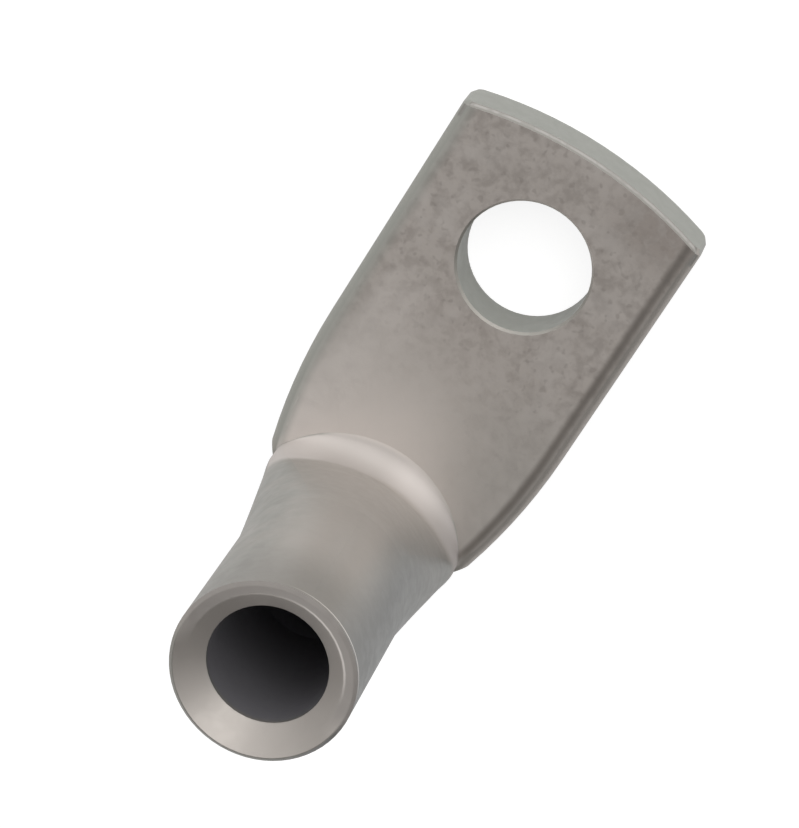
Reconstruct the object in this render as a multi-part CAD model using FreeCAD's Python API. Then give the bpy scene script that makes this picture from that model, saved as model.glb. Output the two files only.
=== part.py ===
"""Right-angled tubular cable lug: one piece of seamless copper tube, tinned.

One end of the tube is pressed flat into a palm with a stud hole. The tube is bent
up by ninety degrees behind the palm, and its round end is the conductor barrel.

Frame, in millimetres: the origin is the centre of the stud hole on the contact
face, +X points to the palm's free end and +Z points up along the barrel.
"""
import FreeCAD
import Part
import math
import os

from FreeCAD import Vector

# Palm
palm_width = 13.3
palm_thickness = 2.9           # two tube walls pressed together
stud_hole_diameter = 6.5
end_distance = 6.35            # stud hole centre to the crown of the free end
end_crown_radius = 22.0
side_edge_radius = 0.6         # rounding that the fold leaves along both long sides
end_edge_break = 0.2           # round the sheared free end
hole_edge_break = 0.12

# Heel, where the palm runs under the barrel
shoulder_length = 8.4          # from the full palm width back to the heel corner
heel_narrowing = 1.2           # drawn in on each side over the shoulder
heel_setback = 1.8             # heel corner behind the barrel axis
heel_radius = 2.6              # outer bend, seen from the side
heel_flare = 40.0              # degrees at which its ends run out to both sides

# Barrel
barrel_distance = 14.0         # stud hole centre to the barrel axis
barrel_diameter = 8.4
bore_diameter = 5.5
barrel_height = 25.5           # contact face to the mouth
round_length = 10.5            # still round below the mouth, where it is crimped
funnel_diameter = 8.0          # countersink that leads the strands in
funnel_depth = 0.95
mouth_edge_break = 0.15

# Squeezed stretch between the round barrel and the bend
front_setback = 2.8            # how far the front wall is pushed back at the bend
fold_setback = 0.9             # side folds behind the barrel axis
fold_spread = 1.05             # side folds outside the barrel radius
fold_radius = 0.9
inner_fold_radius = 0.22       # the same folds on the inside of the tube
squeeze_ease = 1.1             # 1 is a straight taper, more starts it softer
squeeze_stations = 6
bend_radius = 1.3              # inner bend, between the palm and the front wall
bend_turns = (30, 60, 85)      # degrees at which the inner bend has a section
throat_height = 2.2            # where the cavity closes, above the contact face
throat_gap = 0.5
throat_bulge = 0.05            # what is left of the slit's roundness

# Worked out from the sizes above
palm_half = palm_width / 2
barrel_radius = barrel_diameter / 2
bore_radius = bore_diameter / 2
wall = barrel_radius - bore_radius
barrel_x = -barrel_distance
back_x = barrel_x - barrel_radius
round_z = barrel_height - round_length
bend_z = palm_thickness + bend_radius
fold_x = barrel_x - fold_setback
fold_half = barrel_radius + fold_spread
front_depth = barrel_radius + fold_setback - front_setback
back_depth = barrel_radius - fold_setback
overlap = 1.0                  # how far a cutting shape stands outside the metal
tolerance = 1e-6


def side_angle(depth, half_width, corner_radius):
    """Angle at which a broad face of an oval meets its rounded side."""
    return 2 * math.atan2(depth - corner_radius, half_width - corner_radius)


front_angle = side_angle(front_depth, fold_half, fold_radius)
back_angle = side_angle(back_depth, fold_half, fold_radius)


def oval(x, z, half_width, corner_radius, turn_front, turn_back):
    """Closed level section of four tangent arcs: front face, side, back face, side.

    x is where both rounded sides have their centres, and each turn is the angle
    between the middle of a broad face and the point where the side takes over.
    """
    reach = half_width - corner_radius

    def on_side(side, angle):
        return Vector(x + corner_radius * math.cos(angle),
                      side * (reach + corner_radius * math.sin(angle)), z)

    def middle(turn):
        return corner_radius + reach * math.tan(turn / 2)

    right_front = on_side(-1, turn_front)
    left_front = on_side(1, turn_front)
    left_back = on_side(1, math.pi - turn_back)
    right_back = on_side(-1, math.pi - turn_back)
    front_middle = Vector(x + middle(turn_front), 0, z)
    back_middle = Vector(x - middle(turn_back), 0, z)
    return Part.Wire([
        Part.Arc(right_front, front_middle, left_front).toShape(),
        Part.Arc(left_front, on_side(1, math.pi / 2), left_back).toShape(),
        Part.Arc(left_back, back_middle, right_back).toShape(),
        Part.Arc(right_back, on_side(-1, math.pi / 2), right_front).toShape(),
    ])


def squeeze_at(down):
    """Half width, side radius and side position, from round (0) to squeezed (1).

    The back wall stays in line with the barrel, and only the front comes in.
    """
    share = down ** squeeze_ease
    half_width = barrel_radius + fold_spread * share
    corner_radius = barrel_radius - (barrel_radius - fold_radius) * share
    reach = half_width - corner_radius
    x = back_x + corner_radius + reach * math.tan(back_angle / 2)
    return half_width, corner_radius, x


def squeeze_height(down):
    return round_z + (bend_z - round_z) * down


def tube_outside():
    """Squeezed stretch of the tube, and the inner bend that spreads on to the palm."""
    sections = []
    for i in range(squeeze_stations + 1):
        down = i / squeeze_stations
        half_width, corner_radius, x = squeeze_at(down)
        sections.append(oval(x, squeeze_height(down), half_width, corner_radius,
                             front_angle, back_angle))
    for degrees in bend_turns:
        turn = math.radians(degrees)
        depth = front_depth + bend_radius * (1 - math.cos(turn))
        z = palm_thickness + bend_radius * (1 - math.sin(turn))
        sections.append(oval(x, z, fold_half, fold_radius,
                             side_angle(depth, fold_half, fold_radius), back_angle))
    skirt = Part.makeLoft(sections, True, False, False, 3)
    foot = Part.Face(sections[-1]).extrude(Vector(0, 0, -side_edge_radius))
    return [skirt, foot]


def barrel():
    """Round end of the tube, with its outer edge broken at the mouth."""
    turned = Part.makePolygon([
        Vector(0, 0, round_z),
        Vector(barrel_radius, 0, round_z),
        Vector(barrel_radius, 0, barrel_height - mouth_edge_break),
        Vector(barrel_radius - mouth_edge_break, 0, barrel_height),
        Vector(0, 0, barrel_height),
        Vector(0, 0, round_z),
    ])
    body = Part.Face(turned).revolve(Vector(0, 0, 0), Vector(0, 0, 1), 360)
    body.translate(Vector(barrel_x, 0, 0))
    return body


def cavity():
    """Countersunk bore that goes flat with the tube and closes in the bend."""
    slope = (funnel_diameter / 2 - bore_radius) / funnel_depth
    funnel_foot = barrel_height - funnel_depth
    top_z = barrel_height + overlap
    turned = Part.makePolygon([
        Vector(0, 0, round_z),
        Vector(bore_radius, 0, round_z),
        Vector(bore_radius, 0, funnel_foot),
        Vector(funnel_diameter / 2 + slope * overlap, 0, top_z),
        Vector(0, 0, top_z),
        Vector(0, 0, round_z),
    ])
    bore = Part.Face(turned).revolve(Vector(0, 0, 0), Vector(0, 0, 1), 360)
    bore.translate(Vector(barrel_x, 0, 0))
    sections = []
    for i in range(squeeze_stations + 1):
        down = i / squeeze_stations
        half_width, corner_radius, x = squeeze_at(down)
        reach = half_width - corner_radius
        front = corner_radius + reach * math.tan(front_angle / 2) - wall
        back = corner_radius + reach * math.tan(back_angle / 2) - wall
        inner_half = half_width - wall
        inner_radius = max(corner_radius - wall, inner_fold_radius)
        turns = front_angle, back_angle
        if down > 0:
            turns = (side_angle(front, inner_half, inner_radius),
                     side_angle(back, inner_half, inner_radius))
        sections.append(oval(x, squeeze_height(down), inner_half, inner_radius, *turns))
    slit_half = fold_half - wall - inner_fold_radius
    slit_radius = throat_gap / 2
    slit_turn = side_angle(slit_radius + throat_bulge, slit_half, slit_radius)
    sections.append(oval(fold_x, throat_height, slit_half, slit_radius, slit_turn, slit_turn))
    return bore, Part.makeLoft(sections, True, True)


def palm():
    """Flat end of the tube: parallel sides, drawn in at the heel, crowned free end."""
    crown_x = end_distance - end_crown_radius
    corner_x = crown_x + math.sqrt(end_crown_radius ** 2 - palm_half ** 2)
    heel_x = barrel_x - heel_setback
    shoulder_x = heel_x + shoulder_length
    shoulder_radius = (shoulder_length ** 2 + heel_narrowing ** 2) / (2 * heel_narrowing)
    tail_x = back_x - overlap

    def shoulder(side, x):
        drop = math.sqrt(shoulder_radius ** 2 - (shoulder_x - x) ** 2) - shoulder_radius
        return Vector(x, side * (palm_half + drop), 0)

    def corner(side):
        return Vector(corner_x, side * palm_half, 0)

    between_x = (shoulder_x + tail_x) / 2
    outline = Part.Wire([
        Part.Arc(corner(-1), Vector(end_distance, 0, 0), corner(1)).toShape(),
        Part.makeLine(corner(1), shoulder(1, shoulder_x)),
        Part.Arc(shoulder(1, shoulder_x), shoulder(1, between_x), shoulder(1, tail_x)).toShape(),
        Part.makeLine(shoulder(1, tail_x), shoulder(-1, tail_x)),
        Part.Arc(shoulder(-1, tail_x), shoulder(-1, between_x), shoulder(-1, shoulder_x)).toShape(),
        Part.makeLine(shoulder(-1, shoulder_x), corner(-1)),
    ])
    plate = Part.Face(outline).extrude(Vector(0, 0, palm_thickness))
    plate = plate.makeFillet(side_edge_radius, side_edges(plate))
    plate = drill(plate.makeChamfer(end_edge_break, end_edges(plate)))
    for cutter in heel_cutters():
        plate = plate.cut(cutter)
    return plate


def heel_cutters():
    """Cuts that take the heel off behind the tube and round its outer bend.

    The turned one follows the back of the squeezed tube. The other two go on from
    its ends in a straight line, and carry the big rounding out to the palm's sides.
    """
    wall_radius = fold_radius + (fold_half - fold_radius) / math.sin(back_angle)
    centre_x = back_x + wall_radius
    inner = wall_radius - heel_radius
    outer = wall_radius + barrel_radius
    mitre = heel_radius * math.sqrt(0.5)
    corners = [Vector(centre_x, y, z) for y, z in (
        (wall_radius, heel_radius), (wall_radius, palm_thickness + overlap),
        (outer, palm_thickness + overlap), (outer, -overlap), (inner, -overlap), (inner, 0))]
    sides = [Part.makeLine(start, end) for start, end in zip(corners, corners[1:])]
    rounding = Part.Arc(corners[-1], Vector(centre_x, inner + mitre, heel_radius - mitre),
                        corners[0]).toShape()
    profile = Part.Face(Part.Wire(sides + [rounding]))
    axis = Vector(centre_x, 0, 0), Vector(0, 0, 1)
    flare = math.radians(heel_flare)
    profile.rotate(*axis, heel_flare)
    turned = profile.revolve(*axis, 180 - 2 * heel_flare)
    reach = (palm_half + overlap) / math.sin(flare)
    left = profile.extrude(Vector(math.cos(flare), math.sin(flare), 0) * reach)
    return [turned, left, left.mirror(Vector(0, 0, 0), Vector(0, 1, 0))]


def faces_along(shape, direction):
    """Faces that look mostly along a direction, judged at their middle."""
    found = []
    for face in shape.Faces:
        low_u, high_u, low_v, high_v = face.ParameterRange
        normal = face.normalAt((low_u + high_u) / 2, (low_v + high_v) / 2)
        if normal.getAngle(direction) < math.pi / 4:
            found.append(face)
    return found


def end_edges(plate):
    """Every edge round the sheared free end."""
    return [edge for face in faces_along(plate, Vector(1, 0, 0)) for edge in face.Edges]


def side_edges(plate):
    """Long edges of both folded sides, above and below."""
    sides = faces_along(plate, Vector(0, 1, 0)) + faces_along(plate, Vector(0, -1, 0))
    return [edge for face in sides for edge in face.Edges
            if edge.BoundBox.ZLength < tolerance]


def drill(plate):
    """Punches the stud hole and breaks its two edges."""
    radius = stud_hole_diameter / 2
    punch = Part.makeCylinder(radius, palm_thickness + 2 * overlap, Vector(0, 0, -overlap))
    plate = plate.cut(punch)
    rims = [edge for edge in plate.Edges
            if isinstance(edge.Curve, Part.Circle)
            and math.hypot(edge.Curve.Center.x, edge.Curve.Center.y) < tolerance]
    return plate.makeChamfer(hole_edge_break, rims)


def lug():
    """The whole piece: the metal's outside first, then the space for the conductor."""
    solid = palm().fuse(tube_outside() + [barrel()])
    bore, throat = cavity()
    return solid.cut(bore).cut(throat).removeSplitter()


os.makedirs("parts", exist_ok=True)
lug().Solids[0].exportStep("parts/lug.step")
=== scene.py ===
"""Right-angled tubular cable lug of tinned copper, seen from above its open mouth.

One copper tube, pressed flat and punched at one end, bent up and tin plated. Metres.
"""

import bpy
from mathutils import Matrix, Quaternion, Vector

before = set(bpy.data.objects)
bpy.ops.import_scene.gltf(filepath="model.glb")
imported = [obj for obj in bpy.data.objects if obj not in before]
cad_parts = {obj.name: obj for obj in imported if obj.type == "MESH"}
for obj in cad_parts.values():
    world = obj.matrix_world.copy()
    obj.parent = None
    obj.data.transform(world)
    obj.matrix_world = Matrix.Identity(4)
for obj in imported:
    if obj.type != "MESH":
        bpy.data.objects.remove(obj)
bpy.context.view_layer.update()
scene = bpy.context.scene
mm = 0.001

# The lug: one piece of seamless copper tube. Its palm was pressed flat between dies
# and punched, the tube was bent up behind it, and the whole was tin plated.
palm_top = 2.9 * mm
palm_half_width = 6.65 * mm
shoulder_x = -7.4 * mm
taper_length = 60.0 * mm
hole_radius = 3.25 * mm
barrel_x = -14.0 * mm
squeeze_height = 15.0 * mm
mouth_height = 25.5 * mm
lip_depth = 0.36 * mm

palm_grey = (0.458, 0.418, 0.386, 1.0)
palm_dull = (0.385, 0.347, 0.318, 1.0)
palm_fleck = (0.270, 0.240, 0.218, 1.0)
palm_brown = (0.290, 0.248, 0.222, 1.0)
palm_pale = (0.510, 0.474, 0.444, 1.0)
palm_lit_pale = (0.600, 0.556, 0.522, 1.0)
fold_shade_brown = (0.190, 0.170, 0.152, 1.0)
sheared_and_shade_grey = (0.335, 0.338, 0.308, 1.0)
edge_shade = (0.245, 0.235, 0.215, 1.0)
edge_glint_bright = (0.350, 0.335, 0.315, 1.0)
bend_lit_pale = (0.505, 0.470, 0.444, 1.0)
bend_shaded = (0.420, 0.390, 0.374, 1.0)
bend_brightest = (0.600, 0.558, 0.530, 1.0)
tube_pale = (0.335, 0.317, 0.288, 1.0)
tube_grey = (0.290, 0.282, 0.256, 1.0)
tube_front_lit = (0.420, 0.388, 0.356, 1.0)
tube_shaded = (0.200, 0.199, 0.193, 1.0)
tube_end = (0.250, 0.238, 0.218, 1.0)
bore_grey = (0.250, 0.243, 0.262, 1.0)
funnel_grey = (0.358, 0.330, 0.305, 1.0)
lip_lit_grey = (0.405, 0.374, 0.350, 1.0)
lip_highlight_bright = (0.700, 0.655, 0.620, 1.0)

tinned = bpy.data.materials.new("tinned_copper")
tinned.use_nodes = True
tree = tinned.node_tree
tree.nodes.clear()


def node(kind, **settings):
    """Adds a node to the tree that is being built just now."""
    made = tree.nodes.new(kind)
    for name, value in settings.items():
        setattr(made, name, value)
    return made


def feed(socket, value):
    """Links a node's output to a socket, or sets the socket to a plain value."""
    if isinstance(value, bpy.types.NodeSocket):
        tree.links.new(value, socket)
    else:
        socket.default_value = value


def split(vector):
    made = node("ShaderNodeSeparateXYZ")
    feed(made.inputs[0], vector)
    return made.outputs


def calc(kind, a, b=0.0, c=0.0):
    made = node("ShaderNodeMath", operation=kind)
    feed(made.inputs[0], a)
    feed(made.inputs[1], b)
    feed(made.inputs[2], c)
    return made.outputs[0]


def product(first, *others):
    for other in others:
        first = calc("MULTIPLY", first, other)
    return first


def off(value, centre):
    """How far a value lies from a centre, to either side."""
    return calc("ABSOLUTE", calc("SUBTRACT", value, centre))


def ramp(value, band, low=0.0, high=1.0, smooth=True):
    """Goes from low to high while the value crosses the band."""
    made = node("ShaderNodeMapRange", clamp=True,
                interpolation_type="SMOOTHSTEP" if smooth else "LINEAR")
    feed(made.inputs["Value"], value)
    feed(made.inputs["From Min"], band[0])
    feed(made.inputs["From Max"], band[1])
    feed(made.inputs["To Min"], low)
    feed(made.inputs["To Max"], high)
    return made.outputs["Result"]


def fade(value, band, full=1.0):
    """Falls from full to nothing while the value crosses the band."""
    return ramp(value, band, full, 0.0)


def blend(share, first, second):
    made = node("ShaderNodeMix", data_type="RGBA")
    feed(made.inputs["Factor"], share)
    feed(made.inputs[6], first)
    feed(made.inputs[7], second)
    return made.outputs[2]


def noise(scale, detail, roughness, distortion=0.0):
    made = node("ShaderNodeTexNoise")
    feed(made.inputs["Vector"], place.outputs["Object"])
    feed(made.inputs["Scale"], scale)
    feed(made.inputs["Detail"], detail)
    feed(made.inputs["Roughness"], roughness)
    feed(made.inputs["Distortion"], distortion)
    return made.outputs["Fac"]


def from_upright(axis_x):
    """How far a spot is from an upright line through axis_x, seen from above."""
    along = calc("SUBTRACT", x, axis_x)
    return calc("SQRT", calc("MULTIPLY_ADD", along, along, product(y, y)))


place = node("ShaderNodeTexCoord")
x, y, z = split(place.outputs["Object"])
facing_x, facing_y, facing_z = split(place.outputs["Normal"])

grain = noise(3300.0, 2.0, 0.5)
mottle = noise(1500.0, 2.5, 0.55, 0.4)
clouds = noise(520.0, 3.0, 0.55)
pits = noise(2700.0, 1.0, 0.4)

# Pressed skin of the palm: pitted by the dies, most of all away from the bend.
level = (0.9, 0.985)
above_skin = (palm_top + 0.1 * mm, palm_top + 0.6 * mm)
pits_set_in = (-10.5 * mm, -3.5 * mm)
fine_share = 0.35
low_down = fade(z, above_skin)
pressed = product(ramp(facing_z, level), low_down)
pitted = product(pressed, ramp(x, pits_set_in, 0.35))
fine_and_coarse = calc("MULTIPLY_ADD", grain, fine_share, product(mottle, 1 - fine_share))
palm_colour = blend(ramp(fine_and_coarse, (0.36, 0.60)), palm_dull, palm_grey)
palm_colour = blend(ramp(clouds, (0.42, 0.72), 0.0, 0.55), palm_colour, palm_pale)
palm_colour = blend(ramp(pits, (0.60, 0.74), 0.0, 0.40), palm_colour, palm_fleck)

# The tube: painted light makes it paler in front, where it faces the lamp, painted shade darkens it
# down its right side, and it is darker towards its mouth.
in_front = (0.60, 1.0)
on_the_right = (-0.2, -0.8)
mouth_stretch = (19.5 * mm, 24.5 * mm)
shaded_stretch = (6.0 * mm, 18.0 * mm)
above_palm = (2.8 * mm, 6.0 * mm)
tube_colour = blend(ramp(clouds, (0.35, 0.65)), tube_grey, tube_pale)
tube_colour = blend(ramp(facing_x, in_front), tube_colour, tube_front_lit)
tube_colour = blend(ramp(z, mouth_stretch, 0.0, 0.75), tube_colour, tube_end)
shaded = product(ramp(facing_y, on_the_right), ramp(z, shaded_stretch, 0.65), ramp(z, above_palm))
tube_colour = blend(shaded, tube_colour, tube_shaded)
colour = blend(pitted, tube_colour, palm_colour)

# Painted light: beside the bend the palm is painted paler, more so towards its left, with a painted
# pale patch by its left side.
foot_x = -17.26 * mm
foot_radius = 5.85 * mm
lit_reach = (0.2 * mm, 9.2 * mm)
lit_side = (-5.5 * mm, 1.5 * mm)
from_foot = calc("SUBTRACT", from_upright(foot_x), foot_radius)
lit_beside_bend = product(fade(from_foot, lit_reach), ramp(y, lit_side, 0.45), pressed)
colour = blend(lit_beside_bend, colour, palm_lit_pale)
patch_along = product(ramp(x, (-2.5 * mm, -5.0 * mm)), ramp(x, (-12.0 * mm, -8.0 * mm)))
patch_across = product(ramp(y, (2.0 * mm, 4.2 * mm)), fade(y, (5.0 * mm, 5.8 * mm)))
colour = blend(product(patch_along, patch_across, pressed, 0.45), colour, palm_lit_pale)

# The free end's right corner is painted darker and browner, in blotches.
corner = product(ramp(x, (2.6 * mm, 4.8 * mm)), ramp(y, (-1.2 * mm, -4.0 * mm)), pressed)
colour = blend(product(corner, ramp(mottle, (0.40, 0.58), 0.15, 0.6)), colour, palm_brown)

# Painted highlight: the inside of the bend is painted bright up to where the tube begins, with painted
# shade towards its right end and brightest just right of the middle and at its left end.
highlight_foot = (palm_top + 0.005 * mm, palm_top + 0.06 * mm)
highlight_low = palm_top + 1.3 * mm
highlight_high = palm_top + 3.1 * mm
highlight_rim = (-0.4 * mm, 0.8 * mm)
brightest_y = -1.4 * mm
highlight_top = ramp(y, (-1.0 * mm, 5.0 * mm), highlight_low, highlight_high)
bend_highlight = product(ramp(z, highlight_foot), fade(calc("SUBTRACT", z, highlight_top), highlight_rim),
                 ramp(x, (-16.5 * mm, -15.0 * mm)), ramp(facing_x, (-0.15, 0.20)))
bend_light_colour = blend(ramp(y, (-5.0 * mm, -2.0 * mm)), bend_shaded, bend_lit_pale)
bend_light_colour = blend(ramp(y, (2.2 * mm, 4.2 * mm), 0.0, 0.7), bend_light_colour, bend_brightest)
highlight_peak = fade(off(y, brightest_y), (0.3 * mm, 2.0 * mm), 0.75)
bend_light_colour = blend(highlight_peak, bend_light_colour, bend_brightest)
colour = blend(bend_highlight, colour, bend_light_colour)

# The flat runs into folded sides: painted shade makes a dark line along the right fold, a painted
# floor reflection lies paler outside it, and a painted duller band of shade runs along the left.
past_shoulder = calc("MAXIMUM", calc("SUBTRACT", shoulder_x, x), 0.0)
narrowing = product(past_shoulder, past_shoulder)
half_width = calc("MULTIPLY_ADD", narrowing, -1 / taper_length, palm_half_width)
from_right = calc("ADD", half_width, y)
from_left = calc("SUBTRACT", half_width, y)
beside_flat = product(low_down, ramp(x, (-15.2 * mm, -13.8 * mm)))
on_top = product(beside_flat, ramp(z, (1.2 * mm, 2.0 * mm)))
fold_shade_line = product(fade(from_right, (0.72 * mm, 1.08 * mm)), ramp(from_right, (0.28 * mm, 0.70 * mm)))
colour = blend(product(fold_shade_line, on_top, 0.95), colour, fold_shade_brown)
right_reflection_band = product(fade(from_right, (0.2 * mm, 0.6 * mm), 0.65), on_top)
colour = blend(right_reflection_band, colour, palm_grey)
left_shade_band = product(fade(from_left, (0.4 * mm, 1.0 * mm), 0.7), beside_flat)
colour = blend(left_shade_band, colour, sheared_and_shade_grey)

# Punched and sheared metal: the hole's wall and the free end.
from_hole = from_upright(0.0)
in_hole = fade(from_hole, (hole_radius + 0.05 * mm, hole_radius + 0.15 * mm))
free_end = ramp(x, (5.0 * mm, 5.3 * mm))
upright = fade(calc("ABSOLUTE", facing_z), (0.15, 0.4))
colour = blend(product(upright, calc("MAXIMUM", free_end, in_hole)), colour, sheared_and_shade_grey)

# The broken edge of the free end is painted dull as shade, with painted glints here and there; the
# hole's far edge is painted pale as a highlight.
glint_height = palm_top - 0.12 * mm
sloping = product(ramp(facing_z, (0.50, 0.60)), fade(facing_z, (0.80, 0.90)))
end_edge = product(sloping, ramp(x, (4.4 * mm, 4.6 * mm)), ramp(z, (2.5 * mm, 2.6 * mm)))
painted_glint = product(fade(off(z, glint_height), (0.02 * mm, 0.06 * mm)), ramp(mottle, (0.38, 0.56), 0.3))
colour = blend(end_edge, colour, blend(painted_glint, edge_shade, edge_glint_bright))
hole_edge = fade(from_hole, (hole_radius + 0.15 * mm, hole_radius + 0.25 * mm))
far_edge_highlight = product(sloping, hole_edge, ramp(facing_x, (-0.1, -0.5)))
colour = blend(far_edge_highlight, colour, palm_lit_pale)

# Where the metal faces the tube's own axis it is inside: the bore, then the countersink.
bore_starts = (6.0 * mm, 10.0 * mm)
bore_stops = (mouth_height - 1.4 * mm, mouth_height - 0.9 * mm)
funnel_starts = (mouth_height - 1.0 * mm, mouth_height - 0.9 * mm)
from_axis_x = calc("SUBTRACT", x, barrel_x)
away_from_axis = calc("MULTIPLY_ADD", from_axis_x, facing_x, product(y, facing_y))
inward = fade(away_from_axis, (-0.3 * mm, 0.0))
colour = blend(product(inward, ramp(z, bore_starts), fade(z, bore_stops)), colour, bore_grey)
colour = blend(product(inward, ramp(z, funnel_starts)), colour, funnel_grey)

# The lip of the sawn mouth is bumped to look rounded over on the half above the palm, is painted
# lighter there, and has a thin painted highlight line along part of it.
into_lip = calc("SUBTRACT", z, mouth_height - lip_depth)
lip_side = product(ramp(facing_z, (0.3, 0.5)), ramp(from_axis_x, (-1.2 * mm, 0.8 * mm)))
colour = blend(product(ramp(into_lip, (-0.03 * mm, 0.05 * mm)), lip_side), colour, lip_lit_grey)
lip_highlight_line = product(fade(off(into_lip, 0.04 * mm), (0.02 * mm, 0.06 * mm)),
                   ramp(from_axis_x, (0.4 * mm, 2.4 * mm)), ramp(y, (1.4 * mm, -1.2 * mm)))
colour = blend(lip_highlight_line, colour, lip_highlight_bright)
lip_slope = -0.9
lip_height = product(calc("SMOOTH_MAX", into_lip, 0.0, 0.08 * mm), lip_side, lip_slope)

# The squeezed stretch begins without a crease: the wall leans over gradually.
ease = 3.0 * mm
front_lean = 0.27
side_lean = -0.10
side_height = product(calc("ABSOLUTE", facing_y), side_lean)
lean = calc("MULTIPLY_ADD", calc("MAXIMUM", facing_x, 0.0), front_lean, side_height)
to_squeeze = calc("MAXIMUM", calc("SUBTRACT", ease, off(z, squeeze_height)), 0.0)
lean_height = product(to_squeeze, to_squeeze, lean, -1 / (4 * ease))

rounding = node("ShaderNodeBump")
feed(rounding.inputs["Strength"], 1.0)
feed(rounding.inputs["Distance"], 1.0)
feed(rounding.inputs["Height"], calc("ADD", lip_height, lean_height))
pitting = node("ShaderNodeBump")
feed(pitting.inputs["Strength"], 0.35)
feed(pitting.inputs["Distance"], 0.04 * mm)
feed(pitting.inputs["Height"], calc("ADD", product(mottle, pitted, 0.7), product(grain, pitted, 0.3)))
feed(pitting.inputs["Normal"], rounding.outputs[0])

highlight_rough = 0.68
rough = product(ramp(mottle, (0.3, 0.7), 0.46, 0.56), ramp(pressed, (0.0, 1.0), 0.8))
rough = ramp(bend_highlight, (0.0, 1.0), rough, highlight_rough, smooth=False)

skin = node("ShaderNodeBsdfPrincipled")
feed(skin.inputs["Base Color"], colour)
feed(skin.inputs["Roughness"], rough)
feed(skin.inputs["Normal"], pitting.outputs[0])
feed(skin.inputs["Metallic"], 0.5)
out = node("ShaderNodeOutputMaterial")
feed(out.inputs["Surface"], skin.outputs[0])

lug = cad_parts["lug"]
lug.data.materials.clear()
lug.data.materials.append(tinned)
for slot in lug.material_slots:
    slot.link = "OBJECT"
    slot.material = tinned

# Floor: a plain white table that takes a soft shadow. It lies a hair below the palm's
# flat underside, and it is clear from below so that the underside can be seen.
floor_half = 1.5
floor_z = -0.01 * mm
floor_corners = [(-floor_half, -floor_half, floor_z), (floor_half, -floor_half, floor_z),
                 (floor_half, floor_half, floor_z), (-floor_half, floor_half, floor_z)]
floor_mesh = bpy.data.meshes.new("floor")
floor_mesh.from_pydata(floor_corners, [], [(0, 1, 2, 3)])
floor = bpy.data.objects.new("floor", floor_mesh)
scene.collection.objects.link(floor)

paper = bpy.data.materials.new("white_table")
paper.use_nodes = True
tree = paper.node_tree
tree.nodes.clear()


def white(shade, shine):
    """A matt shade that takes shadows, with some light of its own on top."""
    matt = node("ShaderNodeBsdfDiffuse")
    feed(matt.inputs["Color"], (shade, shade, shade, 1.0))
    shining = node("ShaderNodeEmission")
    feed(shining.inputs["Strength"], shine)
    both = node("ShaderNodeAddShader")
    feed(both.inputs[0], matt.outputs[0])
    feed(both.inputs[1], shining.outputs[0])
    return both.outputs[0]


def switch(share, first, second):
    made = node("ShaderNodeMixShader")
    feed(made.inputs[0], share)
    feed(made.inputs[1], first)
    feed(made.inputs[2], second)
    return made.outputs[0]


path = node("ShaderNodeLightPath")
mirrored = switch(path.outputs["Is Glossy Ray"], white(0.75, 0.0), white(0.6, 0.3))
table = switch(path.outputs["Is Camera Ray"], mirrored, white(0.3, 0.85))
from_below = node("ShaderNodeNewGeometry").outputs["Backfacing"]
clear = node("ShaderNodeBsdfTransparent").outputs[0]
out = node("ShaderNodeOutputMaterial")
feed(out.inputs["Surface"], switch(from_below, table, clear))
floor_mesh.materials.append(paper)

# Light: a pale room that is brighter in front and on the left, one broad soft lamp
# over the palm and a second one behind the barrel. The camera sees the room white.
front_light = 1.6
left_light = 0.75
dim_light = 0.12
world = bpy.data.worlds.new("room")
scene.world = world
world.use_nodes = True
tree = world.node_tree
tree.nodes.clear()
heading = split(node("ShaderNodeTexCoord").outputs["Generated"])
from_front = calc("MAXIMUM", heading[0], 0.0)
from_left = calc("MAXIMUM", heading[1], 0.0)
room = calc("MULTIPLY_ADD", from_left, left_light, dim_light)
room = calc("MULTIPLY_ADD", from_front, front_light, room)
seen = node("ShaderNodeLightPath").outputs["Is Camera Ray"]
back = node("ShaderNodeBackground")
feed(back.inputs["Color"], (1.0, 1.0, 1.0, 1.0))
feed(back.inputs["Strength"], ramp(seen, (0.0, 1.0), room, 1.0, smooth=False))
out = node("ShaderNodeOutputWorld")
feed(out.inputs["Surface"], back.outputs[0])

lit_spot = Vector((-0.006, 0.0, 0.005))
lamp_distance = 0.5


def soft_lamp(name, towards, size, watts):
    lamp = bpy.data.lights.new(name, "AREA")
    lamp.shape = "DISK"
    lamp.size = size
    lamp.energy = watts
    holder = bpy.data.objects.new(name, lamp)
    direction = Vector(towards).normalized()
    holder.location = lit_spot + direction * lamp_distance
    holder.rotation_euler = direction.to_track_quat("Z", "Y").to_euler()
    scene.collection.objects.link(holder)


soft_lamp("key", (0.62, -0.1, 0.78), 0.36, 0.6)
soft_lamp("back", (-1.0, 0.0, 0.4), 0.5, 0.65)

# Camera, fitted to the photograph's outline.
lens = bpy.data.cameras.new("camera")
lens.sensor_fit = "AUTO"
lens.sensor_width = 36.0
lens.lens = 155.907
lens.clip_start = 0.01
lens.clip_end = 10.0
camera = bpy.data.objects.new("camera", lens)
camera.location = (0.05668, 0.00091, 0.16327)
camera.rotation_mode = "QUATERNION"
camera.rotation_quaternion = Quaternion((0.862182, -0.092382, 0.171869, -0.467512))
scene.collection.objects.link(camera)
scene.camera = camera

scene.view_settings.view_transform = "Standard"
